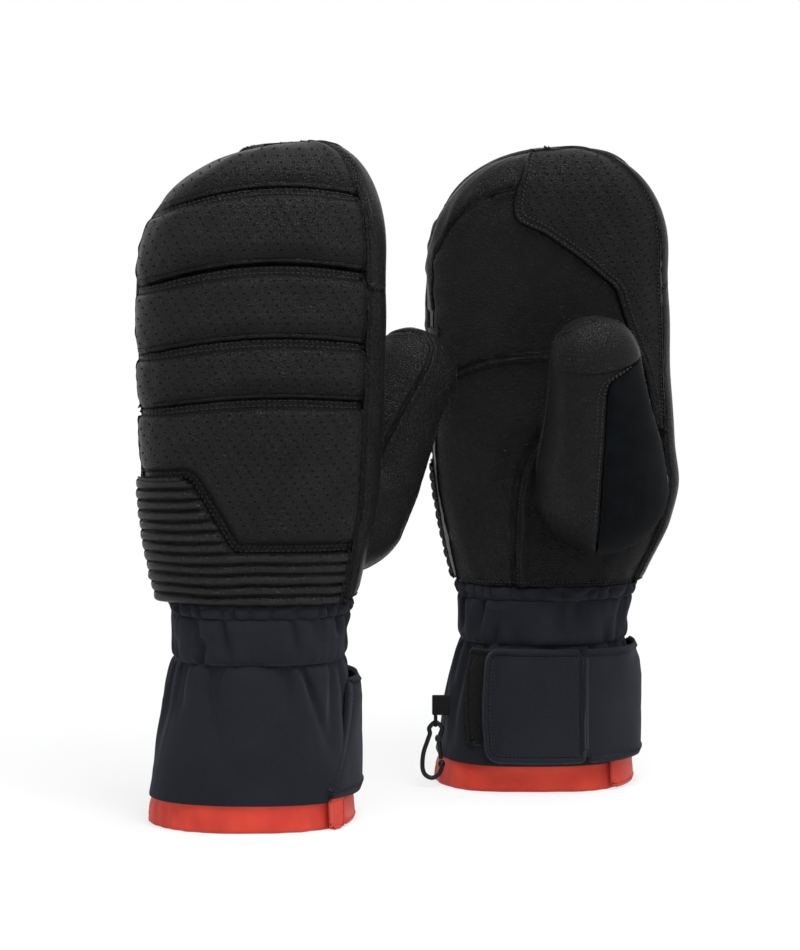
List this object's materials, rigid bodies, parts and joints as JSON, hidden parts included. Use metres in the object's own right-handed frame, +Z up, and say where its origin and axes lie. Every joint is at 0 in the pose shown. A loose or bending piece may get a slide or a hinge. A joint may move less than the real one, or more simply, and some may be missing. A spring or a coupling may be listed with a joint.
{
  "type": "pair of ski mittens",
  "caption": "Pair of insulated leather ski mittens with padded backs, ribbed knuckles, gathered wrists, strap cuffs and a clip-on carabiner.",
  "frame": {"origin": "middle of the pair's bounding box, on the floor under the cuffs' hems", "axes": "+Z up from the hems to the fingertips, +X towards both thumbs, +Y from the left mitten's back to its palm"},
  "size_m": [0.254, 0.1702, 0.3169],
  "materials": {
    "leather": "satin, fine grain",
    "suede": "matte suede",
    "shell": "matte twill softshell",
    "hook_and_loop": "matte loop pile",
    "lining": "smooth red nylon",
    "insulation": "matte fleece",
    "webbing": "woven",
    "metal": "black anodised, satin"
  },
  "bodies": {
    "mittens": {"left_back_pad_hand": "leather", "left_back_pad_knuckle": "leather", "left_back_pad_finger": "leather", "left_back_pad_fingerend": "leather", "left_back_pad_fingertip": "leather", "left_rib_panel": "leather", "left_index_gusset": "leather", "left_pinky_gusset": "leather", "left_fingertip_band": "leather", "left_palm_lower": "leather", "left_palm_upper": "leather", "left_palm_overlay": "leather", "left_hand_liner": "insulation", "left_wrist_sleeve": "shell", "left_wrist_elastic": "webbing", "left_cuff_shell": "shell", "left_cuff_lining": "lining", "left_lining_flap": "lining", "left_strap_base": "shell", "left_loop_patch": "hook_and_loop", "right_back_pad_hand": "leather", "right_back_pad_knuckle": "leather", "right_back_pad_finger": "leather", "right_back_pad_fingerend": "leather", "right_back_pad_fingertip": "leather", "right_rib_panel": "leather", "right_index_gusset": "leather", "right_pinky_gusset": "leather", "right_fingertip_band": "leather", "right_palm_lower": "leather", "right_palm_upper": "leather", "right_palm_overlay": "leather", "right_hand_liner": "insulation", "right_wrist_sleeve": "shell", "right_wrist_elastic": "webbing", "right_cuff_shell": "shell", "right_cuff_lining": "lining", "right_lining_flap": "lining", "right_strap_base": "shell", "right_loop_patch": "hook_and_loop", "right_clip_tab": "webbing"},
    "left_thumb": {"left_thumb_back": "leather", "left_thumb_front": "leather", "left_thumb_wipe": "suede", "left_thumb_liner": "insulation"},
    "left_strap": {"left_strap_tab": "shell", "left_hook_patch": "hook_and_loop"},
    "right_thumb": {"right_thumb_back": "leather", "right_thumb_front": "leather", "right_thumb_wipe": "suede", "right_thumb_liner": "insulation"},
    "right_strap": {"right_strap_tab": "shell", "right_hook_patch": "hook_and_loop"},
    "carabiner": {"right_carabiner_body": "metal", "right_carabiner_pin": "metal"},
    "carabiner_gate": {"right_carabiner_gate": "metal"}
  },
  "joints": [
    {"name": "left_thumb_swing", "type": "hinge", "parent": "mittens", "child": "left_thumb", "pos_m": [-0.03305, -0.01048, 0.143], "axis": [0.3571, 0.8623, -0.3591], "range_deg": [-34, 4]},
    {"name": "left_strap_peel", "type": "hinge", "parent": "mittens", "child": "left_strap", "pos_m": [-0.05305, -0.00691, 0.016], "axis": [0, 0.0847, -0.9964], "range_deg": [0, 120]},
    {"name": "right_thumb_swing", "type": "hinge", "parent": "mittens", "child": "right_thumb", "pos_m": [0.09095, 0.01052, 0.149], "axis": [-0.3571, 0.8623, 0.3591], "range_deg": [-4, 30]},
    {"name": "right_strap_peel", "type": "hinge", "parent": "mittens", "child": "right_strap", "pos_m": [0.08195, 0.00699, 0.016], "axis": [0, 0.1042, 0.9946], "range_deg": [0, 120]},
    {"name": "carabiner_swing", "type": "hinge", "parent": "mittens", "child": "carabiner", "pos_m": [0.01199, 0.02617, 0.0321], "axis": [-1, 0, 0], "range_deg": [0, 80]},
    {"name": "carabiner_gate_hinge", "type": "hinge", "parent": "carabiner", "child": "carabiner_gate", "pos_m": [0.01337, 0.02617, 0.02415], "axis": [0, 1, 0], "range_deg": [0, 18], "stiffness_Nm_per_rad": 0.005, "springref_deg": -17.19}
  ]
}
